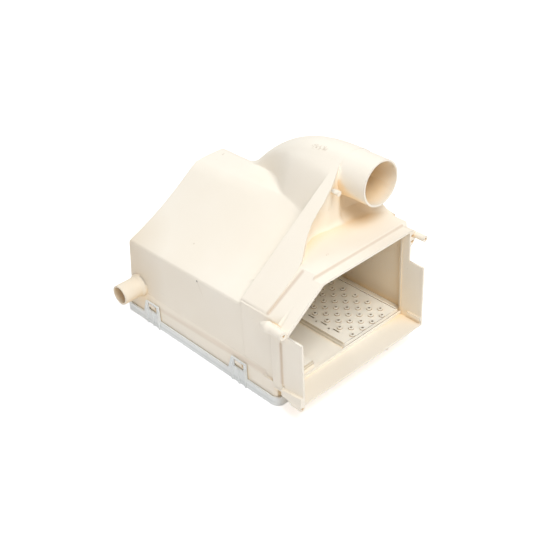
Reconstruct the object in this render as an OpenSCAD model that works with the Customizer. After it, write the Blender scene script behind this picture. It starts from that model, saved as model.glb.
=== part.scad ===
// Washing machine dispenser housing, standing on its clip-on water lid.
// In the machine it hangs the other way up: the lid is then on top and the outlet below.
// X runs to the right along the drawer opening, Y runs to the rear, Z runs up.

/* [Walls and fits] */
// Wall of the housing moulding
wall = 2.4; // [1.8:0.1:3]
// Wall of the lid moulding
lid_wall = 2; // [1.6:0.1:2.6]
// Gap between pieces that slide into each other
fit_gap = 0.3; // [0.15:0.05:0.5]

/* [Front collar] */
// Width across the two front cheeks
front_w = 190; // [180:1:200]
// Depth of the cheeks in front of the body
cheek_d = 27; // [24:0.5:30]
// Height of the cheeks above the apron
cheek_h = 76; // [60:1:84]
// Height of the apron above the ground
apron_z = 28; // [26:0.5:34]
// Thickness of the apron
apron_t = 2.6; // [2:0.1:3.4]
// How far the drawer opening stands behind the cheeks' front edges
frame_y = 20; // [16:0.5:22]
// Clear height of the drawer opening above the apron
opening_h = 113; // [106:0.5:116]
// Depth of the low flange round the opening
flange_d = 11; // [8:0.5:14]
// Step from the flange up to the deck behind it
deck_step = 3; // [2:0.25:4]

/* [Body box] */
// How far the left wall stands inside the left cheek
left_inset = 4; // [3:0.25:6]
// How far the right wall stands outside the right cheek
right_out = 7; // [5:0.25:8]
// Length of the body at its foot
body_l = 297; // [285:1:310]
// How much the rear wall leans forward up to the roof
rear_draft = 5; // [2:0.5:7]
// How much the left wall leans inward up to the roof
left_draft = 1.5; // [0.5:0.25:2.5]
// Height of the flared skirt where its flare starts
skirt_z = 31.5; // [31:0.25:33]
// Height of the flare above the skirt
flare_h = 6; // [4:0.5:9]
// Distance from the front to the skirt's front end
skirt_y = 41; // [39:0.5:44]
// Corner radius of the skirt
skirt_r = 7; // [4:0.5:10]

/* [Sloping wall at the left] */
// Slope of the left shoulder of the opening
ramp_a = 34.9; // [32:0.1:37]
// Height of that shoulder's outer face where it would meet the cheek's plane
ramp_z = 108; // [104:0.5:112]
// Distance from the front to the small step across the shoulder
ramp_step_y = 54; // [50:0.5:58]
// Height of that small step
ramp_step = 1.2; // [0.8:0.1:1.6]
// Distance from the front to where the shoulder ends and the hopper starts
hopper_y = 95; // [90:0.5:100]

/* [Hopper] */
// Height of the hopper's left edge at the front
hop_front_z = 105.5; // [101:0.5:108]
// Height of the hopper's left edge at the rear
hop_rear_z = 101.5; // [97:0.5:105]
// Reach of the concave slope at the front
reach_front = 124; // [115:1:130]
// Reach of the concave slope at the rear
reach_rear = 109; // [100:1:115]
// Height of the sump's flat floor, the highest flat of the roof here
sump_z = 164; // [157:0.5:169]
// Width of that flat at the rear
sump_w = 44; // [36:1:50]
// Fall of the right flank for each millimetre across
flank_fall = 1.15; // [0.9:0.05:1.4]
// Softness of the bends between slope and sump
bend_soft = 3; // [2:0.5:8]
// Radius of the roof's outer edges
edge_r = 2; // [1.5:0.5:3]

/* [Outlet duct] */
// Outside diameter of the outlet spigot
pipe_d = 54; // [50:0.5:56]
// Wall of the outlet spigot
pipe_wall = 2.2; // [1.8:0.1:2.8]
// Distance of the spigot's axis from the left cheek's plane
pipe_x = 173; // [171:0.5:176]
// Height of the spigot's axis
pipe_z = 197.3; // [195:0.1:199]
// Distance from the front to the spigot's mouth
pipe_y = 50; // [44:0.5:56]
// Distance from the front to where the duct's back begins to fall
cowl_y = 88; // [84:1:96]
// Length over which the duct's back falls to the sump's flat
cowl_l = 148; // [140:1:156]

/* [Vent spigot] */
// Outside diameter of the vent spigot
vent_d = 25; // [22:0.5:26]
// Wall of the vent spigot
vent_wall = 2; // [1.6:0.1:2.4]
// Distance from the front to the vent spigot's axis
vent_y = 280; // [275:0.5:282]
// Height of the vent spigot's axis
vent_z = 43.5; // [42:0.5:50]
// Length of the vent spigot outside the cheek's plane
vent_l = 26; // [20:0.5:30]
// Outside diameter of the small jet inside the vent spigot
jet_d = 6; // [5:0.25:8]

/* [Screw bosses] */
// Outside diameter of the upper left screw boss
boss_d = 10; // [9:0.25:11]
// Outside diameter of the small screw bosses
small_boss_d = 7.4; // [6.4:0.2:8]
// Diameter of every screw hole
screw_d = 3.2; // [2.6:0.1:3.6]
// Depth of every screw hole
screw_l = 16; // [10:0.5:18]

/* [Spray plate] */
// Thickness of the spray plate
plate_t = 2.5; // [2:0.1:3]
// Height of the raised fields above the plate's top
field_h = 6.5; // [4:0.25:8]
// Left edge of the perforated field
field_x = 95; // [90:0.5:98]
// Width of the perforated field
field_w = 88; // [84:0.5:90]
// Width of the raised field at the left
side_field_w = 40; // [30:0.5:44]
// Distance between spray nozzles across
nozzle_px = 16.3; // [15:0.1:17]
// Distance between rows of nozzles
nozzle_py = 9.7; // [9:0.1:11]
// Rows of nozzles
nozzle_rows = 16; // [8:1:20]
// Diameter of a nozzle's foot
nozzle_d = 6; // [5:0.25:6.5]
// Diameter of a nozzle's hole
nozzle_hole = 2.6; // [2:0.1:3.2]

/* [Lid] */
// Thickness of the lid's floor
lid_t = 2.4; // [2:0.1:3]
// Height of the lid's rim
rim_h = 11.5; // [9:0.5:14]
// Gap between the skirt and the lid's rim
rim_gap = 0.6; // [0.4:0.1:0.9]
// Width of each snap clip
clip_w = 23.5; // [20:0.5:26]
// Height of each snap clip
clip_h = 32; // [31:0.5:34]
// Distance from the front to the front clips' middle
clip_front_y = 99; // [90:0.5:110]
// Distance from the front clips to the rear clips
clip_pitch = 153; // [130:0.5:155]

/* [Hidden] */
$fn = 64;

// Small overlap that keeps joined shapes one solid
lap = 0.6;
// Overshoot of cutting shapes
over = 1;

// Main planes of the body
left_x = left_inset;
right_x = front_w + right_out;
opening_z = apron_z + opening_h;
flange_z = opening_z + wall;
deck_z = flange_z + deck_step;
cheek_z = apron_z + cheek_h;
deck_y = frame_y + flange_d;
deck_corner_r = 3;
rear_top_y = body_l - rear_draft;
ramp_k = tan(ramp_a);
ramp_off = wall / cos(ramp_a);
skirt_x = left_x - 3;
skirt_right = right_x + 3;
skirt_rear = body_l + 8;
floor_z = apron_z + plate_t;
pipe_r = pipe_d / 2;
pipe_bore_r = pipe_r - pipe_wall;
roof_left = left_x + left_draft;

// The whole part is moved so that its box stands centred on the origin
box_min_x = -vent_l;
clip_rib = 1.5;
box_max_x = max(front_w + 9.5 + small_boss_d / 2, skirt_right + rim_gap + lid_wall + clip_rib);
rim_rear_y = skirt_rear + rim_gap + lid_wall;
move_x = -(box_min_x + box_max_x) / 2;
move_y = -rim_rear_y / 2;

function mix(a, b, t) = a + (b - a) * t;
function clamp01(t) = max(0, min(1, t));
function soft_min(a, b, k) = (a + b - sqrt((a - b) * (a - b) + k * k)) / 2;
function soft_max(a, b, k) = (a + b + sqrt((a - b) * (a - b) + k * k)) / 2;

// Outer face of the left shoulder
function ramp(x) = ramp_z + ramp_k * x;

// How far along the hopper a place lies: 0 at its front, 1 at its rear
function along(y) = clamp01((y - hopper_y) / (rear_top_y - hopper_y));

// Concave slope, flat sump and right flank of the hopper
function slope(x, y) =
    let (t = along(y), z0 = mix(hop_front_z, hop_rear_z, t))
    let (s = (x - roof_left) / mix(reach_front, reach_rear, t))
    z0 + (sump_z - z0) * (0.65 * s + 0.35 * s * s);
function flank(x) = sump_z + flank_fall * (roof_left + reach_rear + sump_w - x);
function hopper(x, y) = soft_min(soft_min(slope(x, y), sump_z, bend_soft), flank(x), bend_soft);

// Top line of the duct: level over the spigot, then falling ever faster to the sump's flat
function duct_top(y) =
    let (u = max(0, y - cowl_y) / cowl_l)
    pipe_z + duct_r - (pipe_z + duct_r - sump_z) * pow(u, 2.6);

// Foot of the duct's left side on the sump's flat
duct_mid_y = 157;
duct_foot_x = pipe_x - 45;
function duct_foot(y) = y < duct_mid_y
    ? duct_foot_x - (duct_mid_y - y) * 0.2
    : duct_foot_x + 24 * sin(90 * min(1, (y - duct_mid_y) / 55));

// Left side and round back of the duct, a touch wider than the spigot that runs into it
duct_r = pipe_r + 0.7;
root_r = pipe_r + 1;
root_y = pipe_y + 28;
flank_dip = 60;
tangent_x = pipe_x - duct_r * sin(ramp_a);
tangent_drop = duct_r * (1 - cos(ramp_a));
function round_back(x, top) =
    let (d = min(abs(x - pipe_x), duct_r * 0.98))
    top - duct_r + sqrt(duct_r * duct_r - d * d);
function duct(x, y) =
    let (top = duct_top(y), foot = duct_foot(y), u = (x - foot) / (tangent_x - foot))
    u < 0 ? sump_z + flank_dip * u
    : x < tangent_x ? soft_min(sump_z + (top - tangent_drop - sump_z) * sin(90 * u),
        top - tangent_drop - (ramp_k + 0.05) * (tangent_x - x), 2)
    : round_back(x, top);

// Rounded outer edge: how far the roof drops at a distance d inside it
function edge_drop(d) = d >= edge_r ? 0 : edge_r - sqrt(edge_r * edge_r - (edge_r - d) * (edge_r - d));

// Shallow hollow in the duct's flank beside the strip, with a round end towards the duct's back
dent_x = pipe_x - 60;
dent_y = hopper_y + 13;
dent_r = 24;
dent_soft = 6;
dent_depth = 2.2;
function dent(x, y) =
    let (r = x > dent_x ? norm([x - dent_x, y - dent_y]) : abs(y - dent_y), t = clamp01((dent_r - r) / dent_soft))
    dent_depth * t * t * (3 - 2 * t) * clamp01((x - dent_x + 45) / 40);

// Roof of the rear part
function roof(x, y) = soft_max(hopper(x, y), duct(x, y), 4) - dent(x, y)
    - edge_drop(max(0, x - roof_left))
    - edge_drop(max(0, rear_top_y - y));

// Roof of the part in front of the hopper: the shoulder, which swells a little to meet the duct
swell_x = tangent_x - 38;
swell = pipe_z + duct_r - tangent_drop - ramp(tangent_x) - ramp_step;
function front_roof(x) = (x < tangent_x
        ? ramp(x) + ramp_step + swell * pow(clamp01((x - swell_x) / (tangent_x - swell_x)), 2)
        : round_back(x, pipe_z + duct_r))
    - edge_drop(max(0, x - roof_left));

// Front outline of the duct's foot on the deck, of the hollow above it and of its upper edge,
// each given from where the shoulder meets the deck, to the right and to the rear
strip_x = (deck_z - ramp_z) / ramp_k + 1;
strip_w = 117;
strip_l = 41;
function line(pairs) = [for (p = pairs)
    [mix(strip_x, pipe_x, p[0] / strip_w), mix(ramp_step_y, hopper_y, p[1] / strip_l)]];
foot_line = line([[0, 0], [19, 13], [37, 26], [49, 30], [60, 30], [73, 27],
    [91, 23], [104, 21], [122, 17], [134, 8], [148, -4]]);
hollow_line = line([[0, 0], [19, 15], [37, 32], [49, 36.5], [60, 36], [73, 32],
    [92.5, 32.9], [95, 38], [104, 40], [122, 37.5], [134, 30], [148, 22]]);
ridge_line = line([[0, 0], [20, 13], [34, 19], [45, 21.5], [56, 22], [73, 26],
    [80, 28.2], [93.5, 34], [104, 34], [122, 32], [134, 29], [148, 26]]);
function foot_y(x) = lookup(x, foot_line);
function hollow_y(x) = lookup(x, hollow_line);
function ridge_y(x) = lookup(x, ridge_line);
function foot_z(x) = min(deck_z, ramp(x)) - 1;
function hollow_z(x, part) = mix(foot_z(x), front_roof(x), part);

// The duct's right side leans out a little over the box below it
lean_x = pipe_x + duct_r + 0.3;

// Stations across the roof: they follow the slope's upper edge, the duct's foot and its round back
function plateau_x(y) = min(roof_left + mix(reach_front, reach_rear, along(y)), duct_foot(y) - 2);
function back_x(t, right) = pipe_x + duct_r * sin(mix(-ramp_a, asin(min(1, (right - pipe_x) / duct_r)), t));
function spread(a, b, n) = [for (i = [0 : n - 1]) mix(a, b, i / n)];
function back_xs(right, n) = concat([for (i = [0 : n - 1]) back_x(i / n, right)], [right]);
function stations(y, left, right, n) = concat(
    spread(left, plateau_x(y), n[0]),
    spread(plateau_x(y), duct_foot(y), n[1]),
    spread(duct_foot(y), tangent_x, n[2]),
    back_xs(right, n[3]));
function outer_xs(y) = concat([roof_left, roof_left + edge_r * 0.3],
    stations(y, roof_left + edge_r, lean_x, [9, 3, 10, 11]));
rows_back = 24;
function station_y(j) = j == rows_back ? rear_top_y : j == rows_back - 1 ? rear_top_y - edge_r * 0.3
    : mix(hopper_y + 0.4, rear_top_y - edge_r, pow(j / (rows_back - 2), 1.35));

// A closed solid between a grid of points and a flat floor under its border
module draped(grid, floor_pts) {
    rows = len(grid);
    cols = len(grid[0]);
    top = [for (row = grid) each row];
    loop = concat(
        [for (i = [0 : cols - 1]) i],
        [for (j = [1 : rows - 1]) j * cols + cols - 1],
        [for (i = [cols - 2 : -1 : 0]) (rows - 1) * cols + i],
        [for (j = [rows - 2 : -1 : 1]) j * cols]);
    n = len(loop);
    low = len(top);
    front = [for (i = [0 : cols - 1]) low + i];
    right = [for (j = [0 : rows - 1]) low + cols - 1 + j];
    back = [for (i = [0 : cols - 1]) low + 2 * cols + rows - 3 - i];
    left = [for (j = [0 : rows - 1]) j == 0 ? low : low + 2 * cols + 2 * rows - 4 - j];
    polyhedron(
        points = concat(top, floor_pts),
        faces = concat(
            [for (j = [0 : rows - 2], i = [0 : cols - 2]) each [
                [j * cols + i, (j + 1) * cols + i, (j + 1) * cols + i + 1],
                [j * cols + i, (j + 1) * cols + i + 1, j * cols + i + 1]]],
            [for (k = [0 : n - 1]) each [
                [loop[k], loop[(k + 1) % n], low + (k + 1) % n],
                [loop[k], low + (k + 1) % n, low + k]]],
            [for (i = [1 : cols - 3]) each [
                [front[i], front[i + 1], back[i + 1]],
                [front[i], back[i + 1], back[i]]]],
            [for (j = [0 : rows - 2]) each [
                [left[j], front[1], left[j + 1]],
                [front[cols - 2], right[j], right[j + 1]]]],
            [[back[0], front[1], back[1]], [front[cols - 2], back[cols - 1], back[cols - 2]]]),
        convexity = 8);
}

// Outer roof: the duct's front, the shoulder's rear end, then the hopper and the duct's back
body_floor_z = skirt_z + flare_h - lap;
pillar_left = pipe_x - 44;
pillar_right = pipe_x - 24.5;
pillar_edge = 2.5;
row_draft = 0.15;
front_xs = concat([roof_left, roof_left + edge_r * 0.3],
    spread(roof_left + edge_r, plateau_x(hopper_y), 10),
    spread(plateau_x(hopper_y), pillar_left, 4),
    spread(pillar_left, pillar_right, 4),
    [pillar_right],
    spread(pillar_right + pillar_edge, tangent_x, 3),
    back_xs(lean_x, 11));
outer_grid = concat(
    [[for (x = front_xs) [x, foot_y(x), foot_z(x)]]],
    [[for (x = front_xs) [x, mix(foot_y(x), hollow_y(x), 0.5) + row_draft, hollow_z(x, 0.05)]]],
    [[for (x = front_xs) [x, mix(foot_y(x), hollow_y(x), 0.84) + 2 * row_draft, hollow_z(x, 0.14)]]],
    [[for (x = front_xs) [x, hollow_y(x) + 3 * row_draft, hollow_z(x, 0.4)]]],
    [[for (x = front_xs) [x, mix(hollow_y(x), ridge_y(x), 0.45) + 4 * row_draft, hollow_z(x, 0.8)]]],
    [[for (x = front_xs) [x, ridge_y(x) + 5 * row_draft, front_roof(x)]]],
    [[for (x = front_xs) [x, hopper_y, front_roof(x)]]],
    [for (j = [0 : rows_back]) let (y = station_y(j)) [for (x = outer_xs(y)) [x, y, roof(x, y)]]]);

// A point of the outer floor under a point of the roof's border
function under(p) = [
    p[0] < roof_left + 0.1 ? left_x
    : p[0] > pipe_x ? mix(pipe_x, right_x, (p[0] - pipe_x) / (lean_x - pipe_x)) : p[0],
    p[1] > rear_top_y - 0.1 ? body_l : p[1],
    body_floor_z];
function border(grid) = concat(
    [for (p = grid[0]) p],
    [for (j = [1 : len(grid) - 1]) grid[j][len(grid[0]) - 1]],
    [for (i = [len(grid[0]) - 2 : -1 : 0]) grid[len(grid) - 1][i]],
    [for (j = [len(grid) - 2 : -1 : 1]) grid[j][0]]);

module roof_outer() draped(outer_grid, [for (p = border(outer_grid)) under(p)]);

// Inner roof: the same forms, one wall further in
inner_rows = 14;
inner_left = roof_left + wall;
inner_right = right_x - wall;
inner_rear = rear_top_y - wall;
function inner_xs(y) = stations(y, inner_left, inner_right, [5, 2, 5, 5]);
function inner_y(j) = mix(hopper_y + 0.4, inner_rear, j / inner_rows);
function steep(x, y) = let (h = 2, fx = (roof(x + h, y) - roof(x - h, y)) / (2 * h),
    fy = (roof(x, y + h) - roof(x, y - h)) / (2 * h)) sqrt(1 + min(8, fx * fx + fy * fy));
function roof_in(x, y) = roof(x, y) - wall * steep(min(x, right_x - 4), min(y, rear_top_y - 4));
function front_in(x) = front_roof(x) - wall * (x < tangent_x ? 1 / cos(ramp_a) : 1.3);
inner_front_xs = inner_xs(hopper_y);
function inner_top_y(x) = mix(hollow_y(x), ridge_y(x), 0.6) + wall * 1.9;
function inner_step_y(x) = max(hopper_y - wall - 1.5, inner_top_y(x) + 0.3);
inner_grid = concat(
    [[for (x = inner_front_xs) [x, max(foot_y(x), hollow_y(x)) + wall * 1.3, foot_z(x) - 8]]],
    [[for (x = inner_front_xs) [x, hollow_y(x) + wall * 1.6 + row_draft, min(hollow_z(x, 0.4), front_in(x))]]],
    [[for (x = inner_front_xs)
        [x, mix(hollow_y(x), ridge_y(x), 0.4) + wall * 1.9, min(hollow_z(x, 0.8), front_in(x) - 0.1)]]],
    [[for (x = inner_front_xs) [x, inner_top_y(x), front_in(x)]]],
    [[for (x = inner_front_xs) [x, inner_step_y(x), front_in(x)]]],
    [[for (x = inner_front_xs) [x, inner_step_y(x) + 1.4, roof_in(x, hopper_y + 0.4)]]],
    [for (j = [1 : inner_rows]) let (y = inner_y(j)) [for (x = inner_xs(y)) [x, y, roof_in(x, y)]]]);
module roof_inner() draped(inner_grid,
    [for (p = border(inner_grid)) [p[0] < inner_left + 0.1 ? left_x + wall : p[0],
        p[1] > inner_rear - 0.1 ? body_l - wall : p[1], floor_z]]);

// Section of the tunnel round the drawer, drawn across X and Z
module tunnel_shape(x0, x1, z0, z1, drop) {
    meet = (z1 - ramp_z + drop) / ramp_k;
    polygon([[x0, z0], [x1, z0], [x1, z1], [meet, z1], [x0, ramp(x0) - drop]]);
}

// Extrudes a section drawn in X and Z from one Y to another
module along_y(y0, y1) translate([0, y1, 0]) rotate([90, 0, 0]) linear_extrude(y1 - y0) children();

// A rectangle with round corners
module rounded(x0, x1, y0, y1, r) {
    translate([x0 + r, y0]) square([x1 - x0 - 2 * r, y1 - y0]);
    translate([x0, y0 + r]) square([x1 - x0, y1 - y0 - 2 * r]);
    for (x = [x0 + r, x1 - r], y = [y0 + r, y1 - r]) translate([x, y]) circle(r);
}

// A cylinder lying along Y between two places
module rod_y(x, z, y0, y1, r) translate([x, y1, z]) rotate([90, 0, 0]) cylinder(r = r, h = y1 - y0);

// Box given by its two corners
module block(a, b) translate(a) cube(b - a);

// Skirt round the water chamber, flared out from the body above
module skirt() {
    translate([0, 0, lid_t]) linear_extrude(skirt_z - lid_t)
        rounded(skirt_x, skirt_right, skirt_y, skirt_rear, skirt_r);
    hull() {
        translate([0, 0, skirt_z - 0.1]) linear_extrude(0.1)
            rounded(skirt_x, skirt_right, skirt_y + 14, skirt_rear, skirt_r);
        translate([0, 0, skirt_z + flare_h]) linear_extrude(0.1)
            rounded(left_x, right_x, skirt_y + 18, body_l - 0.3, 1.5);
    }
}
module skirt_hollow() {
    translate([0, 0, lid_t - over]) linear_extrude(apron_z - lid_t + over)
        rounded(skirt_x + wall, skirt_right - wall, skirt_y + wall, skirt_rear - wall, skirt_r - wall);
    translate([0, 0, apron_z - lap]) linear_extrude(plate_t + fit_gap + lap)
        rounded(skirt_x + wall, skirt_right - wall, skirt_y + wall, skirt_rear - wall, skirt_r - wall);
}

// Front collar: two cheeks, the apron between them and the frame round the opening
module collar() {
    for (x = [0, front_w - wall]) block([x, 0, apron_z - apron_t], [x + wall, cheek_d, cheek_z]);
    block([0, 0, apron_z - apron_t], [front_w, skirt_y + wall, apron_z]);
    along_y(frame_y, deck_y + lap) tunnel_shape(0, front_w, apron_z - apron_t, flange_z, 0);
}
module collar_ribs() {
    block([0.5, deck_y, apron_z - apron_t], [left_x + lap, deck_y + 15, ramp(0) - 6]);
    translate([-4, 0, 0]) rotate([90, 0, 90]) linear_extrude(4 + wall)
        polygon([[0, apron_z - 4], [0, apron_z + 9.3], [29, apron_z + 5.3], [29, apron_z - 2],
            [20.5, apron_z - 3], [low_boss_l, low_boss_z - 1], [3, low_boss_z - 1]]);
    block([front_w - wall - 2, 0, apron_z + 5], [front_w, cheek_d + 3, apron_z + 9]);
}
module opening_bead() block([front_w - wall - 0.8, deck_y - 1, apron_z + 8],
    [front_w - wall + lap, deck_y + 0.4, opening_z - 2]);

// Groove between the left cheek and the rib behind it, and the scoop that runs up the shoulder from it
groove_d = 1.2;
module collar_cuts() {
    block([-over, cheek_d + 0.5, apron_z + 6.5], [groove_d, deck_y + lap, upper_boss_z - 8]);
    translate([0, 34.5, ramp(0) + 2.8]) rotate([0, 90 - ramp_a, 0]) cylinder(r1 = 4, r2 = 2, h = 40);
}

// Box of the drawer tunnel behind the frame
module tunnel() difference() {
    intersection() {
        along_y(deck_y, hopper_y - 1) tunnel_shape(left_x, right_x, apron_z - apron_t, deck_z, 0);
        linear_extrude(deck_z + over) polygon(concat([[0, hopper_y], [0, deck_y - over],
            [right_x - deck_corner_r, deck_y - over]],
            [for (t = [0 : 22.5 : 90]) [right_x - deck_corner_r * (1 - sin(t)), deck_y + deck_corner_r * (1 - cos(t)) - 0.05]],
            [[right_x + over, deck_y + deck_corner_r + 0.2], [right_x + over, hopper_y]]));
    }
    translate([-over, 0, 0]) rotate([90, 0, 90]) linear_extrude(right_x + 2 * over)
        polygon([[deck_y - over, flange_z + 0.2], [deck_y + 0.2, flange_z + 0.2],
            [deck_y + deck_step, deck_z], [deck_y + deck_step, deck_z + 2], [deck_y - over, deck_z + 2]]);
}

// Screw bosses: upper left with its tapered root, right on its lug, lower left; a small nub below the apron
upper_boss_x = 1 - boss_d / 2;
upper_boss_z = apron_z + cheek_h + 4;
upper_boss_y = 21;
right_boss_x = front_w + 9.5;
right_boss_z = opening_z - 8;
right_boss_y = 8;
low_boss_x = -1.2;
low_boss_z = apron_z - apron_t - small_boss_d / 2 + 1;
low_boss_y = 0.5;
low_boss_l = 14;
nub_x = 132;
nub_r = 2.2;
module bosses() {
    translate([upper_boss_x, upper_boss_y, upper_boss_z]) rotate([-90, 0, 0]) rotate_extrude()
        polygon([[0, 0], [boss_d / 2, 0], [boss_d / 2, 17], [boss_d / 2 + 1.2, 22], [boss_d / 2 + 1.2, 24], [2, 33], [0, 33]]);
    block([upper_boss_x, 28, upper_boss_z - 4], [left_x + lap, 44, upper_boss_z + 1]);
    rod_y(right_boss_x, right_boss_z, right_boss_y, deck_y, small_boss_d / 2);
    along_y(frame_y + 2, deck_y + 1) difference() {
        polygon([[front_w - lap, right_boss_z + 8.6], [front_w + 5, right_boss_z + 8.2], [front_w + 8, right_boss_z + 6],
            [right_boss_x, right_boss_z + 3], [right_boss_x, right_boss_z - 3], [front_w + 8, right_boss_z - 6.5],
            [front_w + 5, right_boss_z - 11], [front_w - lap, right_boss_z - 13]]);
        for (z = [-8, -1]) translate([front_w + 1, right_boss_z + z]) square([5.4, 2.8]);
    }
    rod_y(low_boss_x, low_boss_z, low_boss_y, low_boss_y + low_boss_l, small_boss_d / 2);
    rod_y(nub_x, apron_z - apron_t - nub_r + 0.8, 1.5, 12, nub_r);
}
module boss_holes() {
    rod_y(upper_boss_x, upper_boss_z, upper_boss_y - over, upper_boss_y + screw_l, screw_d / 2);
    rod_y(right_boss_x, right_boss_z, right_boss_y - over, right_boss_y + screw_l, screw_d / 2);
    rod_y(low_boss_x, low_boss_z, low_boss_y - over, low_boss_y + low_boss_l - 2.4, screw_d / 2);
}

// Peg on the pillar beside the outlet spigot
peg_x = pipe_x - 38.5;
peg_z = pipe_z - 5.5;
peg_r = 3.2;
peg_l = 17.5;
module peg() rod_y(peg_x, peg_z, pipe_y + 24.5, pipe_y + 24.5 + peg_l, peg_r);

// Root of the outlet spigot: a cone that widens a little on its way into the duct
module pipe_root() translate([pipe_x, root_y, pipe_z]) rotate([-90, 0, 0])
    cylinder(r1 = pipe_r, r2 = root_r, h = hopper_y + 8 - root_y);

// Vent spigot on the left wall, with a wider root and a small jet inside
module vent() {
    translate([left_x + lap, vent_y, vent_z]) rotate([0, -90, 0]) rotate_extrude()
        polygon([[0, 0], [vent_d / 2 + 2, 0], [vent_d / 2 + 2, 3], [vent_d / 2, 7],
            [vent_d / 2, left_x + lap + vent_l], [0, left_x + lap + vent_l]]);
}
module vent_bore() {
    translate([left_x, vent_y, vent_z]) rotate([0, -90, 0])
        cylinder(d = vent_d - 2 * vent_wall, h = left_x + vent_l + over);
}
module vent_jet() translate([left_x + lap, vent_y, vent_z]) rotate([0, -90, 0])
    cylinder(d = jet_d, h = left_x + vent_l - 8);
module jet_hole() translate([left_x + wall + over, vent_y, vent_z]) rotate([0, -90, 0])
    cylinder(d = jet_d - 3, h = left_x + vent_l + wall);

// Catches on the skirt, one for each snap clip
clip_ys = [clip_front_y, clip_front_y + clip_pitch];
catch_z = clip_h - 2.4;
catch_w = clip_w * 0.47;
catch_h = clip_h * 0.28;
catch_out = 2.8;
module catches() for (y = clip_ys, side = [0, 1])
    translate([side ? skirt_right - lap : skirt_x + lap, y, 0]) mirror([1 - side, 0, 0])
        translate([0, catch_w / 2, 0]) rotate([90, 0, 0]) linear_extrude(catch_w)
            polygon([[0, catch_z], [0, catch_z - catch_h], [lap + catch_out, catch_z - catch_h * 0.4],
                [lap + catch_out, catch_z]]);

module housing() color("#f3ead8") difference() {
    union() {
        difference() {
            union() {
                roof_outer();
                tunnel();
                collar();
                collar_ribs();
                skirt();
                bosses();
                peg();
                rod_y(pipe_x, pipe_z, pipe_y, root_y, pipe_r);
                pipe_root();
                vent();
                catches();
            }
            collar_cuts();
            roof_inner();
            skirt_hollow();
            along_y(frame_y - over, deck_y + lap)
                tunnel_shape(wall, front_w - wall, apron_z, opening_z, ramp_off + 1.5);
            along_y(deck_y - lap, deck_y + wall + lap)
                tunnel_shape(left_x + wall, front_w - wall, apron_z, opening_z, ramp_off);
            along_y(deck_y + wall, hopper_y - wall)
                tunnel_shape(left_x + wall, inner_right, apron_z, opening_z - 0.2, ramp_off);
            along_y(deck_y + deck_step, hopper_y - wall)
                tunnel_shape(left_x + wall, inner_right, apron_z, deck_z - wall, ramp_off);
            along_y(hopper_y - wall - over, hopper_y + 6)
                tunnel_shape(left_x + wall + over, inner_right, apron_z, deck_z - wall - 1, 32);
            rod_y(pipe_x, pipe_z, pipe_y - over, hopper_y + 8, pipe_bore_r);
            vent_bore();
        }
        vent_jet();
        opening_bead();
    }
    jet_hole();
    boss_holes();
}

// Spray plate: a thin floor with raised fields, nozzles and slots
plate_x0 = skirt_x + wall + fit_gap;
plate_x1 = skirt_right - wall - fit_gap;
plate_y0 = cheek_d + 2;
plate_y1 = skirt_rear - wall - fit_gap;
field_top = floor_z + field_h;
field_y1 = plate_y1 - 24;
nozzle_x0 = field_x + 16;
nozzle_y0 = plate_y0 + 5;
module plate_shape() {
    rounded(plate_x0, plate_x1, skirt_y + wall + fit_gap, plate_y1, skirt_r - wall);
    translate([left_x + wall + fit_gap, deck_y + wall + fit_gap])
        square([inner_right - left_x - wall - 2 * fit_gap, skirt_y]);
    translate([left_x + wall + fit_gap, plate_y0])
        square([front_w - 2 * wall - left_x - 2 * fit_gap, skirt_y]);
}
module field(x0, x1, y0, y1) difference() {
    union() {
        block([x0, y0, floor_z - lap], [x1, y1, field_top]);
        block([x0 - 1.6, y0, floor_z - lap], [x1 + 1.6, y1, floor_z + field_h * 0.45]);
    }
    block([x0 + plate_t, y0 + plate_t, apron_z - over], [x1 - plate_t, y1 - plate_t, field_top - plate_t]);
}
module nozzle(x, y) translate([x, y, field_top - lap]) cylinder(d1 = nozzle_d, d2 = nozzle_d - 1.2, h = 1.8 + lap);
module spray_plate() color("#efe4cf") difference() {
    union() {
        difference() {
            translate([0, 0, apron_z]) linear_extrude(plate_t) plate_shape();
            block([field_x + plate_t, plate_y0 + 2 + plate_t, apron_z - over],
                [field_x + field_w - plate_t, field_y1 - plate_t, floor_z + over]);
            block([left_x + wall + 4 + plate_t, plate_y0 + 7 + plate_t, apron_z - over],
                [left_x + wall + 4 + side_field_w - plate_t, field_y1 - plate_t, floor_z + over]);
        }
        block([left_x + wall + fit_gap, plate_y0, floor_z - lap],
            [front_w - wall - fit_gap, plate_y0 + 1.4, floor_z + 1.6]);
        field(field_x, field_x + field_w, plate_y0 + 2, field_y1);
        field(left_x + wall + 4, left_x + wall + 4 + side_field_w, plate_y0 + 7, field_y1);
        for (r = [0 : nozzle_rows - 1], c = [0 : 3])
            nozzle(nozzle_x0 + nozzle_px * (c + (r % 2) / 2), nozzle_y0 + nozzle_py * r);
        block([field_x + field_w - 3, plate_y0 + 2, field_top - lap], [field_x + field_w - 1.4, field_y1, field_top + 1.5]);
    }
    for (r = [0 : nozzle_rows - 1], c = [0 : 3])
        translate([nozzle_x0 + nozzle_px * (c + (r % 2) / 2), nozzle_y0 + nozzle_py * r, apron_z])
            cylinder(d = nozzle_hole, h = field_h + 10);
    for (k = [0 : 5]) {
        translate([field_x + 9.2, nozzle_y0 + nozzle_py * (2 * k + 1.5), apron_z]) cube([1.8, 9.5, field_h + 6]);
        translate([field_x + 6, nozzle_y0 + nozzle_py * (2 * k + 2.8), apron_z]) cube([2.4, 2.4, field_h + 6]);
    }
}

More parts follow.
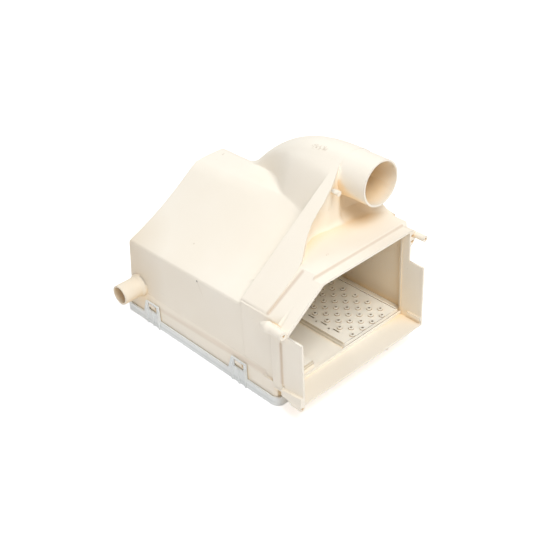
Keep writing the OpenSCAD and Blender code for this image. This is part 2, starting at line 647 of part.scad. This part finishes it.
// Lid: a shallow tray with a rim, channel walls inside and snap clips at both sides
rim_in = [skirt_x - rim_gap, skirt_right + rim_gap, skirt_y - rim_gap, skirt_rear + rim_gap];
module lid_outline(grow) rounded(rim_in[0] - grow, rim_in[1] + grow, rim_in[2] - grow, rim_in[3] + grow,
    skirt_r + rim_gap + grow);
module clip() {
    difference() {
        rotate([90, 0, -90]) linear_extrude(lid_wall)
            polygon([[-clip_w / 2, 0], [clip_w / 2 + 7, 0], [clip_w / 2 + 7, rim_h], [clip_w / 2, clip_h],
                [-clip_w / 2, clip_h]]);
        block([-lid_wall - over, -clip_w / 2 + 4, catch_z - 9.5], [over, clip_w / 2 - 4, catch_z + 0.4]);
    }
    for (y = [-1, 0, 1]) block([-lid_wall - clip_rib, y * (clip_w / 2 - 1) - 0.8, 0],
        [-lid_wall + lap, y * (clip_w / 2 - 1) + 0.8, y == 0 ? catch_z - 10 : clip_h - 8]);
}
channel_xs = [for (share = [5, 9.2, 14]) front_w * share / 19];
channel_ys = [for (share = [39 : 50 : 189]) mix(skirt_y, skirt_rear, share / 264)];
channel_t = 1.6;
cross_z = rim_h + 4.5;
module lid() color("#dfe3e0") {
    difference() {
        linear_extrude(rim_h) lid_outline(lid_wall);
        translate([0, 0, lid_t]) linear_extrude(rim_h) lid_outline(0);
    }
    for (y = clip_ys) {
        translate([rim_in[0], y, 0]) mirror([0, 1, 0]) clip();
        translate([rim_in[1], y, 0]) mirror([1, 0, 0]) mirror([0, 1, 0]) clip();
    }
    for (x = channel_xs) block([x, skirt_y + 14, lid_t - lap], [x + channel_t, body_l - 20, apron_z - fit_gap]);
    for (y = channel_ys) block([channel_xs[0], y, lid_t - lap], [channel_xs[2], y + channel_t, cross_z]);
}

module placed() translate([move_x, move_y, 0]) children();

placed() housing();
placed() spray_plate();
placed() lid();
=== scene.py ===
import math

import bpy
from mathutils import Matrix, Vector


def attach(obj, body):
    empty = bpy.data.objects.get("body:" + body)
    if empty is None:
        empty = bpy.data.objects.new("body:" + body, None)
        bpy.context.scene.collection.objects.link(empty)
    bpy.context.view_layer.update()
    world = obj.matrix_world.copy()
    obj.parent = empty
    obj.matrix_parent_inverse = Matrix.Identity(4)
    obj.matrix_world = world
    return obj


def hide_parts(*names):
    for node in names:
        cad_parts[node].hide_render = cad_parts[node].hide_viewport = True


# all lengths and places are in metres, all angles in degrees
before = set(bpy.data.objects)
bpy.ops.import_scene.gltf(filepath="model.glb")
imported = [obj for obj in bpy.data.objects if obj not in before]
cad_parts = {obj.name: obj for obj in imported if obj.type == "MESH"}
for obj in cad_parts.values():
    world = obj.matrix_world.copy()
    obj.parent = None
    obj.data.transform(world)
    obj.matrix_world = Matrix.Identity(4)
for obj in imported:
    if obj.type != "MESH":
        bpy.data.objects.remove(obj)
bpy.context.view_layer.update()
print("packed housing loaded")


def deselectAll():
    if bpy.context.object and bpy.context.object.mode != "OBJECT":
        bpy.ops.object.mode_set(mode="OBJECT")
    bpy.ops.object.select_all(action="DESELECT")


def makeActive(piece):
    deselectAll()
    piece.select_set(True)
    bpy.context.view_layer.objects.active = piece


def selectRing(piece, ring, radius):
    # selects the vertices at one distance from the ring's middle, and nothing else
    bpy.ops.mesh.select_all(action="DESELECT")
    bpy.ops.object.mode_set(mode="OBJECT")
    within = ring["within"]
    for vertex in piece.data.vertices:
        offset = vertex.co - Vector(ring["centre"])
        distance = math.hypot(offset.x, offset.z)
        vertex.select = abs(offset.y) < within and abs(distance - radius) < within
    bpy.ops.object.mode_set(mode="EDIT")


def drawIn(piece, ring):
    # the small step at the end of a cone is drawn in, flush with the wall that it ends on
    selectRing(piece, ring, ring["radius"])
    scale = ring["newRadius"] / ring["radius"]
    bpy.ops.transform.resize(value=(scale, 1, scale), center_override=ring["centre"])
    selectRing(piece, ring, ring["newRadius"])
    bpy.ops.mesh.remove_doubles(threshold=ring["mergeWithin"])


def widenNozzles(piece, nozzles):
    # each nozzle is made wider and higher about its own middle, from the field's surface up;
    # every second row stands half a step to the side
    firstX, firstY, surface = nozzles["first"]
    stepX, stepY = nozzles["step"]
    for row in range(nozzles["rows"]):
        for column in range(nozzles["columns"]):
            across = firstX + stepX * (column + row % 2 / 2)
            middle = Vector((across, firstY + stepY * row, surface))
            for vertex in piece.data.vertices:
                offset = vertex.co - middle
                above = offset.z > -nozzles["within"]
                if above and math.hypot(offset.x, offset.y) < nozzles["radius"]:
                    vertex.co = middle + offset * nozzles["scale"]


def mouldedCopy(nodeName, pieceName, values):
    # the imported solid's own shape: its loose triangles are merged, flat areas
    # become single faces, and the shading is smooth up to the sharp edges
    piece = bpy.data.objects.new(pieceName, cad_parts[nodeName].data.copy())
    bpy.context.scene.collection.objects.link(piece)
    piece.data.materials.clear()
    makeActive(piece)
    bpy.ops.object.mode_set(mode="EDIT")
    bpy.ops.mesh.select_all(action="SELECT")
    bpy.ops.mesh.remove_doubles(threshold=values["mergeWithin"])
    if "ring" in values:
        drawIn(piece, values["ring"])
    if "nozzles" in values:
        bpy.ops.object.mode_set(mode="OBJECT")
        widenNozzles(piece, values["nozzles"])
        bpy.ops.object.mode_set(mode="EDIT")
    bpy.ops.mesh.select_all(action="SELECT")
    bpy.ops.mesh.dissolve_limited(angle_limit=math.radians(values["flatWithin"]))
    bpy.ops.object.mode_set(mode="OBJECT")
    bpy.ops.object.shade_smooth_by_angle(angle=math.radians(values["smoothAngle"]))
    weighted = piece.modifiers.new("evenShading", "WEIGHTED_NORMAL")
    weighted.keep_sharp = True
    weighted.weight = values["faceWeight"]
    bpy.ops.object.modifier_apply(modifier=weighted.name)
    return piece


def standFor(piece, nodeName, material):
    piece.data.materials.append(material)
    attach(piece, "root")
    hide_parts(nodeName)


def newMaterial(name):
    material = bpy.data.materials.new(name)
    material.use_nodes = True
    nodes = material.node_tree.nodes
    return material, nodes, material.node_tree.links, nodes["Principled BSDF"]


def noiseAt(nodes, links, where, values):
    noise = nodes.new("ShaderNodeTexNoise")
    noise.inputs["Scale"].default_value = values["scale"]
    noise.inputs["Detail"].default_value = values["detail"]
    noise.inputs["Roughness"].default_value = values["roughness"]
    links.new(where, noise.inputs["Vector"])
    return noise.outputs["Fac"]


def stretched(nodes, links, where, values):
    # the same place, turned and stretched, for streaks along one direction
    mapping = nodes.new("ShaderNodeMapping")
    mapping.inputs["Rotation"].default_value = [math.radians(angle) for angle in values["turn"]]
    mapping.inputs["Scale"].default_value = values["stretch"]
    links.new(where, mapping.inputs["Vector"])
    return mapping.outputs["Vector"]


def twoColours(nodes, links, value, limits, lowColour, highColour):
    step = nodes.new("ShaderNodeValToRGB")
    for element, position, colour in zip(step.color_ramp.elements, limits, (lowColour, highColour)):
        element.position = position
        element.color = (*colour, 1)
    links.new(value, step.inputs["Fac"])
    return step.outputs["Color"]


def laidOver(nodes, links, factor, base, colour):
    mix = nodes.new("ShaderNodeMix")
    mix.data_type = "RGBA"
    links.new(factor, mix.inputs["Factor"])
    links.new(base, mix.inputs[6])  # the first of the two colours
    mix.inputs[7].default_value = (*colour, 1)
    return mix.outputs[2]


def span(nodes, links, value, fromLow, fromHigh, toLow, toHigh):
    mapped = nodes.new("ShaderNodeMapRange")
    mapped.inputs["From Min"].default_value = fromLow
    mapped.inputs["From Max"].default_value = fromHigh
    mapped.inputs["To Min"].default_value = toLow
    mapped.inputs["To Max"].default_value = toHigh
    links.new(value, mapped.inputs["Value"])
    return mapped.outputs["Result"]


def patches(nodes, links, where, values):
    # 0 up to the noise's low limit, then rising to the given strength at its high limit
    noise = noiseAt(nodes, links, where, values)
    return span(nodes, links, noise, *values["limits"], 0, values["strength"])


def times(nodes, links, first, second):
    # the second may be a number
    product = nodes.new("ShaderNodeMath")
    product.operation = "MULTIPLY"
    links.new(first, product.inputs[0])
    if isinstance(second, (int, float)):
        product.inputs[1].default_value = second
    else:
        links.new(second, product.inputs[1])
    return product.outputs[0]


def vectorMath(nodes, links, operation, first, second=None):
    # each of the two is a socket or plain numbers
    result = nodes.new("ShaderNodeVectorMath")
    result.operation = operation
    for socket, value in zip(result.inputs, (first, second)):
        if isinstance(value, bpy.types.NodeSocket):
            links.new(value, socket)
        elif value is not None:
            socket.default_value = value
    return result


def nearTo(nodes, links, where, start, end, radius, softness):
    # 1 on the line from start to end, 0 from the radius outwards
    towards = Vector(end) - Vector(start)
    place = vectorMath(nodes, links, "SUBTRACT", where, start).outputs["Vector"]
    if towards.length > 0:
        perLength = towards / towards.length_squared
        share = vectorMath(nodes, links, "DOT_PRODUCT", place, perLength)
        held = nodes.new("ShaderNodeClamp")
        links.new(share.outputs["Value"], held.inputs["Value"])
        along = vectorMath(nodes, links, "SCALE", towards)
        links.new(held.outputs["Result"], along.inputs["Scale"])
        away = vectorMath(nodes, links, "SUBTRACT", place, along.outputs["Vector"])
        place = away.outputs["Vector"]
    distance = vectorMath(nodes, links, "LENGTH", place).outputs["Value"]
    return span(nodes, links, distance, radius, radius * (1 - softness), 0, 1)


def bumpFrom(nodes, links, where, values, before):
    bump = nodes.new("ShaderNodeBump")
    bump.inputs["Distance"].default_value = values["depth"]
    bump.inputs["Strength"].default_value = values["strength"]
    links.new(noiseAt(nodes, links, where, values), bump.inputs["Height"])
    links.new(before, bump.inputs["Normal"])
    return bump.outputs["Normal"]


def roundedEdges(nodes, radius, samples):
    edges = nodes.new("ShaderNodeBevel")
    edges.samples = samples
    edges.inputs["Radius"].default_value = radius
    return edges.outputs["Normal"]


def enclosed(nodes, links, values):
    # 0 down to the open share of the surroundings seen, and full strength at the closed share
    around = nodes.new("ShaderNodeAmbientOcclusion")
    around.samples = mouldedSurface["aroundSamples"]
    around.inputs["Distance"].default_value = values["reach"]
    seen = around.outputs["AO"]
    return span(nodes, links, seen, values["open"], values["closed"], 0, values["strength"])


def paintedSideShadeBand(nodes, links, where, band):
    # the band's strength between two heights, behind the front edge: painted shade on the sides of
    # what stands on the plate
    place = nodes.new("ShaderNodeSeparateXYZ")
    links.new(where, place.inputs["Vector"])
    height, depth = place.outputs["Z"], place.outputs["Y"]
    soft = mouldedSurface["bandSoftness"]
    above = span(nodes, links, height, band["low"], band["low"] + soft, 0, 1)
    below = span(nodes, links, height, band["high"], band["high"] - soft, 0, 1)
    behind = span(nodes, links, depth, band["behind"], band["behind"] + soft, 0, band["strength"])
    return times(nodes, links, times(nodes, links, above, below), behind)


# what all three mouldings have in common
mouldedSurface = {
    "cloud": {"detail": 4, "roughness": 0.5, "limits": (0.35, 0.65)},
    "flow": {"scale": 26, "detail": 3, "roughness": 0.5, "limits": (0.55, 0.8),
             "strength": 0.12, "turn": (0, 0, 20), "stretch": (1, 6, 1)},
    "dust": {"scale": 300, "detail": 2, "roughness": 0.6, "limits": (0.72, 0.80),
             "strength": 0.14},
    "broken": {"scale": 380, "detail": 3, "roughness": 0.7, "limits": (0.48, 0.56),
               "strength": 1},
    "wear": {"scale": 40, "detail": 3, "roughness": 0.5},
    "sink": {"scale": 22, "detail": 2, "roughness": 0.5, "depth": 0.0010, "strength": 0.10},
    "grain": {"scale": 900, "detail": 2, "roughness": 0.5, "depth": 0.00008, "strength": 0.3},
    "edgeSamples": 4,
    "aroundSamples": 8,
    "bandSoftness": 0.0002,
    "markSoftness": 0.7,
}


def makeMouldedPlastic(name, values, marks=()):
    material, nodes, links, shader = newMaterial(name)
    surface = mouldedSurface
    where = nodes.new("ShaderNodeTexCoord").outputs["Object"]
    cloud = surface["cloud"] | {"scale": values["cloudSize"]}
    colour = twoColours(nodes, links, noiseAt(nodes, links, where, cloud), cloud["limits"],
                        values["dark"], values["light"])
    # faint flow lines of the moulding and a little dust
    along = stretched(nodes, links, where, surface["flow"])
    flow = patches(nodes, links, along, surface["flow"])
    colour = laidOver(nodes, links, flow, colour, values["dark"])
    dust = patches(nodes, links, where, surface["dust"])
    colour = laidOver(nodes, links, dust, colour, values["speck"])
    # painted warm shade in deep hollows, and painted shade in narrow gaps, small holes and sharp
    # corners
    for depth in ("paintedWarmShade", "paintedCreviceShade"):
        if depth in values:
            deep = enclosed(nodes, links, values[depth])
            colour = laidOver(nodes, links, deep, colour, values[depth]["colour"])
    # painted shade on the side walls between the given heights
    for band in values.get("sides", ()):
        colour = laidOver(nodes, links, paintedSideShadeBand(nodes, links, where, band), colour, band["colour"])
    broken = patches(nodes, links, where, surface["broken"])
    for mark in marks:
        end = mark.get("end", mark["start"])  # a mark without an end is a round spot
        mask = nearTo(nodes, links, where, mark["start"], end, mark["radius"],
                      surface["markSoftness"])
        mask = times(nodes, links, mask, mark["strength"])
        if "inside" in mark:
            mask = times(nodes, links, mask, enclosed(nodes, links, mark["inside"]))
        if mark.get("broken"):
            mask = times(nodes, links, mask, broken)
        colour = laidOver(nodes, links, mask, colour, mark["colour"])
    links.new(colour, shader.inputs["Base Color"])
    wear = noiseAt(nodes, links, where, surface["wear"])
    roughness = span(nodes, links, wear, 0, 1, *values["roughness"])
    links.new(roughness, shader.inputs["Roughness"])
    shader.inputs["Specular IOR Level"].default_value = values["gloss"]
    normal = roundedEdges(nodes, values["edgeRadius"], surface["edgeSamples"])
    for bumps in ("sink", "grain"):
        normal = bumpFrom(nodes, links, where, surface[bumps], normal)
    links.new(normal, shader.inputs["Normal"])
    return material


creamPlastic = {
    "light": (0.955, 0.89, 0.765),
    "dark": (0.94, 0.865, 0.73),
    "speck": (0.30, 0.22, 0.14),
    "roughness": (0.42, 0.55),
    "gloss": 0.35,
    "cloudSize": 11,
    "edgeRadius": 0.0006,
    # painted warm shade in deep hollows, then painted shade in narrow gaps and sharp corners
    "paintedWarmShade": {"reach": 0.12, "open": 0.46, "closed": 0.24, "strength": 0.95,
               "colour": (0.95, 0.73, 0.45)},
    "paintedCreviceShade": {"reach": 0.003, "open": 0.42, "closed": 0.2, "strength": 0.5,
                "colour": (0.46, 0.34, 0.21)},
}
platePlastic = creamPlastic | {
    "light": (0.99, 0.955, 0.85),
    "dark": (0.98, 0.93, 0.82),
    "edgeRadius": 0.0004,
    # a weaker painted warm shade in hollows, and darker painted shade in narrow gaps and in the
    # nozzles' holes
    "paintedWarmShade": creamPlastic["paintedWarmShade"] | {"strength": 0.45},
    "paintedCreviceShade": {"reach": 0.005, "open": 0.5, "closed": 0.2, "strength": 0.75,
                "colour": (0.24, 0.18, 0.11)},
    # painted shade on the side walls, from the top: the nozzles, the raised field and the step
    # below it
    "sides": [
        {"low": 0.0371, "high": 0.0384, "behind": -0.13, "strength": 0.85,
         "colour": (0.45, 0.33, 0.20)},
        {"low": 0.0337, "high": 0.0369, "behind": -0.12, "strength": 0.7,
         "colour": (0.62, 0.54, 0.40)},
        {"low": 0.0307, "high": 0.0332, "behind": -0.12, "strength": 0.7,
         "colour": (0.66, 0.59, 0.46)},
    ],
}
greyPlastic = {
    "light": (0.86, 0.88, 0.86),
    "dark": (0.81, 0.83, 0.81),
    "speck": (0.25, 0.26, 0.25),
    "roughness": (0.38, 0.5),
    "gloss": 0.4,
    "cloudSize": 12,
    "edgeRadius": 0.0006,
    # painted shade in narrow gaps, such as between the lid and the housing
    "paintedCreviceShade": {"reach": 0.003, "open": 0.42, "closed": 0.2, "strength": 0.4,
                "colour": (0.45, 0.45, 0.42)},
}

darkSpeck = (0.13, 0.09, 0.06)
brownScuff = (0.50, 0.38, 0.24)
paleCrease = (0.62, 0.52, 0.38)
shadeLine = (0.68, 0.53, 0.39)
# the left wall's deeper rear tone, and the painted shadow under the duct
deepCream = (0.74, 0.60, 0.41)
# the colour of the painted warm shade in the drawer's bay
paintedWarmBayShade = (0.97, 0.74, 0.44)
underBead = (0.66, 0.69, 0.66)

housingMarks = [
    # a dark speck with a short crease below it, and a paler speck further back
    {"start": (-0.0836, 0.0142, 0.1008),
     "radius": 0.0016, "strength": 0.9, "colour": darkSpeck},
    {"start": (-0.0840, 0.0138, 0.1005), "end": (-0.0848, 0.0054, 0.0841),
     "radius": 0.0011, "strength": 0.35, "colour": paleCrease},
    {"start": (-0.0508, 0.0563, 0.1161),
     "radius": 0.0016, "strength": 0.45, "colour": paleCrease},
    # scuffs on the flat at the rear, on the duct and on the deck over the opening
    {"start": (0.0586, 0.1246, 0.1637), "end": (0.0560, 0.1230, 0.1637),
     "radius": 0.0016, "strength": 0.5, "colour": brownScuff, "broken": True},
    {"start": (0.0433, 0.1195, 0.1637), "end": (0.0448, 0.1195, 0.1637),
     "radius": 0.0014, "strength": 0.45, "colour": brownScuff, "broken": True},
    {"start": (0.0705, -0.0350, 0.2203), "end": (0.0699, -0.0180, 0.2179),
     "radius": 0.0042, "strength": 0.5, "colour": brownScuff, "broken": True},
    {"start": (0.0010, -0.1030, 0.1464), "end": (0.0030, -0.1020, 0.1464),
     "radius": 0.0020, "strength": 0.35, "colour": brownScuff, "broken": True},
    # a pale crease low on the duct's left side, near its mouth
    {"start": (0.0412, -0.0699, 0.2001), "end": (0.0569, -0.0724, 0.1945),
     "radius": 0.0006, "strength": 0.4, "colour": paleCrease},
    # shade along the frame's upper edge, the chamfer, the skirt's flare, the apron's ledge
    # and the groove behind the left cheek
    {"start": (-0.0390, -0.1213, 0.1449), "end": (0.1000, -0.1213, 0.1449),
     "radius": 0.0022, "strength": 0.6, "colour": shadeLine},
    {"start": (-0.0819, -0.0987, 0.1140), "end": (-0.0360, -0.1040, 0.1440),
     "radius": 0.0032, "strength": 0.6, "colour": shadeLine},
    {"start": (-0.0880, 0.0950, 0.0285), "end": (-0.0866, -0.0919, 0.0350),
     "radius": 0.0045, "strength": 0.3, "colour": shadeLine},
    {"start": (-0.0860, -0.1213, 0.0378), "end": (0.1030, -0.1213, 0.0378),
     "radius": 0.0022, "strength": 0.6, "colour": shadeLine},
    {"start": (-0.0885, -0.1222, 0.0900), "end": (-0.0885, -0.1217, 0.0380),
     "radius": 0.0028, "strength": 0.6, "colour": shadeLine},
    # a deeper tone on the left wall's rear, painted warm shade in the drawer's bay and painted
    # shadow under the duct
    {"start": (-0.0887, 0.1500, 0.0450), "end": (-0.0887, 0.1500, 0.0800),
     "radius": 0.0750, "strength": 0.5, "colour": deepCream},
    # painted warm shade, strongest where the bay is most enclosed
    {"start": (0.1080, -0.1100, 0.0850), "end": (0.1080, 0.1200, 0.0850),
     "radius": 0.0800, "strength": 1.0, "colour": paintedWarmBayShade,
     "inside": {"reach": 0.12, "open": 0.72, "closed": 0.42, "strength": 1}},
    # painted shadow in the hollow under the duct
    {"start": (0.0700, -0.0610, 0.1640), "end": (0.0850, -0.0660, 0.1480),
     "radius": 0.0170, "strength": 0.8, "colour": deepCream},
]
lidMarks = [
    # the shade under the bead along the lid's left side
    {"start": (-0.0907, -0.1400, 0.0052), "end": (-0.0907, 0.1400, 0.0052),
     "radius": 0.0024, "strength": 0.55, "colour": underBead},
]

housingMaterial = makeMouldedPlastic("creamPlastic", creamPlastic, housingMarks)
plateMaterial = makeMouldedPlastic("sprayPlatePlastic", platePlastic)
lidMaterial = makeMouldedPlastic("greyPlastic", greyPlastic, lidMarks)
print("materials made")

# the ring is the end of the duct's root cone
housing = {
    "mergeWithin": 0.00001,
    "flatWithin": 0.4,
    "smoothAngle": 26,
    "faceWeight": 60,
    "ring": {"centre": (0.08395, -0.0508, 0.1973), "radius": 0.028, "newRadius": 0.0276,
             "within": 0.00015, "mergeWithin": 0.0003},
}
standFor(mouldedCopy("housing", "dispenserHousing", housing), "housing", housingMaterial)
print("housing finished")

sprayPlate = {
    "mergeWithin": 0.00001,
    "flatWithin": 0.4,
    "smoothAngle": 30,
    "faceWeight": 60,
    "nozzles": {"first": (0.02195, -0.1198, 0.037), "step": (0.0163, 0.0097),
                "rows": 16, "columns": 4, "radius": 0.0031, "within": 0.0001, "scale": 1.2},
}
standFor(mouldedCopy("spray_plate", "sprayPlate", sprayPlate), "spray_plate", plateMaterial)
print("spray plate finished")

waterLid = {"mergeWithin": 0.00001, "flatWithin": 0.4, "smoothAngle": 30, "faceWeight": 60}
standFor(mouldedCopy("lid", "waterLid", waterLid), "lid", lidMaterial)
print("lid finished")

# the camera stands where the photograph was taken
photoCamera = {
    "place": (-0.623416, -0.713838, 0.722222),
    "azimuth": -41.67,
    "elevation": 34.13,
    "roll": -3.2,
    "halfWidth": 0.27,  # half the picture's width, one metre in front of the lens
    "sensorWidth": 36,  # in millimetres
    "clipEnd": 50,
}


def addCamera(values):
    turn = math.radians(values["azimuth"])
    rise = math.radians(values["elevation"])
    roll = math.radians(values["roll"])
    level = math.cos(rise)
    back = Vector((math.sin(turn) * level, -math.cos(turn) * level, math.sin(rise)))
    right = Vector((math.cos(turn), math.sin(turn), 0))
    up = back.cross(right)
    rolledRight = right * math.cos(roll) + up * math.sin(roll)
    rolledUp = up * math.cos(roll) - right * math.sin(roll)
    bpy.ops.object.camera_add()
    camera = bpy.context.object
    camera.name = "photoCamera"
    camera.data.sensor_width = values["sensorWidth"]
    camera.data.lens = values["sensorWidth"] / (2 * values["halfWidth"])
    camera.data.clip_end = values["clipEnd"]
    turned = Matrix((rolledRight, rolledUp, back)).transposed().to_4x4()
    camera.matrix_world = Matrix.Translation(values["place"]) @ turned
    bpy.context.scene.camera = camera


addCamera(photoCamera)
bpy.context.scene.view_settings.view_transform = "Standard"

# a pale floor, soft lamps and white all round
studio = {
    "floorSize": 12,
    "floorHeight": -0.0003,
    "floorColour": (0.9, 0.9, 0.9),
    "floorRoughness": 0.9,
    "floorGloss": 0.1,
    "floorGlow": 0.5,
    "worldStrength": 0.45,
    "worldColour": (1.0, 0.975, 1.0),
    "aim": (0, 0, 0.1),
    "lamps": [
        {"place": (-0.22, -0.95, 1.68), "size": 0.9, "watts": 20.5, "colour": (0.96, 0.98, 1)},
        {"place": (-1.4, -1.2, 0.7), "size": 1.2, "watts": 2.3, "colour": (1, 0.94, 0.93)},
        {"place": (0.5, 1.3, 1.5), "size": 1.0, "watts": 8, "colour": (0.9, 0.98, 1)},
    ],
}


def whiteRays(nodes, links):
    # 1 for what the camera, gloss and glass see, 0 for light on the object
    path = nodes.new("ShaderNodeLightPath")
    seen = path.outputs["Is Camera Ray"]
    for name in ("Is Glossy Ray", "Is Transmission Ray"):
        both = nodes.new("ShaderNodeMath")
        both.operation = "ADD"
        both.use_clamp = True
        links.new(seen, both.inputs[0])
        links.new(path.outputs[name], both.inputs[1])
        seen = both.outputs[0]
    return seen


def addFloor(values):
    deselectAll()
    place = (0, 0, values["floorHeight"])
    bpy.ops.mesh.primitive_plane_add(size=values["floorSize"], location=place)
    floor = bpy.context.object
    floor.name = "studioFloor"
    material, nodes, links, shader = newMaterial("paleFloor")
    shader.inputs["Base Color"].default_value = (*values["floorColour"], 1)
    shader.inputs["Roughness"].default_value = values["floorRoughness"]
    shader.inputs["Specular IOR Level"].default_value = values["floorGloss"]
    glow = nodes.new("ShaderNodeEmission")
    strength = times(nodes, links, whiteRays(nodes, links), values["floorGlow"])
    links.new(strength, glow.inputs["Strength"])
    both = nodes.new("ShaderNodeAddShader")
    links.new(shader.outputs["BSDF"], both.inputs[0])
    links.new(glow.outputs["Emission"], both.inputs[1])
    links.new(both.outputs["Shader"], nodes["Material Output"].inputs["Surface"])
    floor.data.materials.append(material)


def addWorld(values):
    world = bpy.data.worlds.new("studioWorld")
    bpy.context.scene.world = world
    world.use_nodes = True
    nodes, links = world.node_tree.nodes, world.node_tree.links
    background = nodes["Background"]
    seen = whiteRays(nodes, links)
    colour = nodes.new("ShaderNodeMix")
    colour.data_type = "RGBA"
    colour.inputs[6].default_value = (*values["worldColour"], 1)
    colour.inputs[7].default_value = (1, 1, 1, 1)
    links.new(seen, colour.inputs["Factor"])
    links.new(colour.outputs[2], background.inputs["Color"])
    strength = span(nodes, links, seen, 0, 1, values["worldStrength"], 1)
    links.new(strength, background.inputs["Strength"])


def addLamps(values):
    for lampValues in values["lamps"]:
        bpy.ops.object.light_add(type="AREA", location=lampValues["place"])
        lamp = bpy.context.object
        lamp.data.size = lampValues["size"]
        lamp.data.energy = lampValues["watts"]
        lamp.data.color = lampValues["colour"]
        away = Vector(lampValues["place"]) - Vector(values["aim"])
        lamp.rotation_euler = away.to_track_quat("Z", "Y").to_euler()


addFloor(studio)
addWorld(studio)
addLamps(studio)
print("camera, floor and lamps set")
